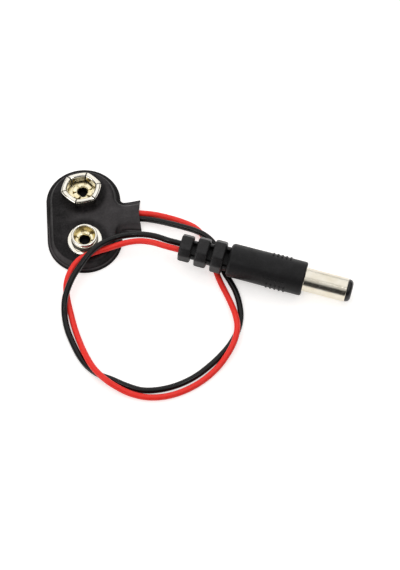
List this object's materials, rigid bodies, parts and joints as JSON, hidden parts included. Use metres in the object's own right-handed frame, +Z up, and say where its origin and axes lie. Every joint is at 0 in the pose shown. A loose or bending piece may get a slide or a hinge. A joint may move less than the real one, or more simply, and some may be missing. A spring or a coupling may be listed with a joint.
{
  "type": "battery snap with barrel plug",
  "caption": "Soft battery snap with a hexagonal crown contact and a round stud contact, on red and black leads that end in a straight DC barrel plug with a ribbed strain relief.",
  "frame": {"origin": "on the pad's back face, midway between the axes of the crown and the stud", "axes": "+Z up out of the contacts, +Y from the stud to the crown, +X out along the tab that the leads leave by"},
  "size_m": [0.0686, 0.0602, 0.0086],
  "materials": {
    "cover_vinyl": "soft matte vinyl",
    "board_fibre": "matte pressed fibre",
    "contact_nickel": "bright nickel plate",
    "eyelet_nickel": "thin nickel plate over brass",
    "solder": "satin solder",
    "copper": "bare copper strands",
    "red_pvc": "satin insulation",
    "black_pvc": "satin insulation",
    "plug_pvc": "fine matte moulding",
    "inner_plastic": "plain moulding",
    "barrel_nickel": "bright nickel plate",
    "insulator_plastic": "satin moulding",
    "terminal_brass": "tinned brass"
  },
  "bodies": {
    "root": {"top_cover": "cover_vinyl", "back_cover": "cover_vinyl", "contact_board": "board_fibre", "socket_crown": "contact_nickel", "stud_cup": "contact_nickel", "socket_eyelet": "eyelet_nickel", "stud_eyelet": "eyelet_nickel", "socket_solder": "solder", "stud_solder": "solder", "red_strand_snap": "copper", "black_strand_snap": "copper", "red_lead": "red_pvc", "black_lead": "black_pvc", "plug_overmould": "plug_pvc", "plug_inner_mould": "inner_plastic", "plug_sleeve": "barrel_nickel", "plug_insulator": "insulator_plastic", "plug_washer": "insulator_plastic", "centre_contact": "terminal_brass", "sleeve_terminal": "terminal_brass", "red_strand_plug": "copper", "black_strand_plug": "copper", "centre_solder": "solder", "sleeve_solder": "solder"}
  },
  "joints": []
}
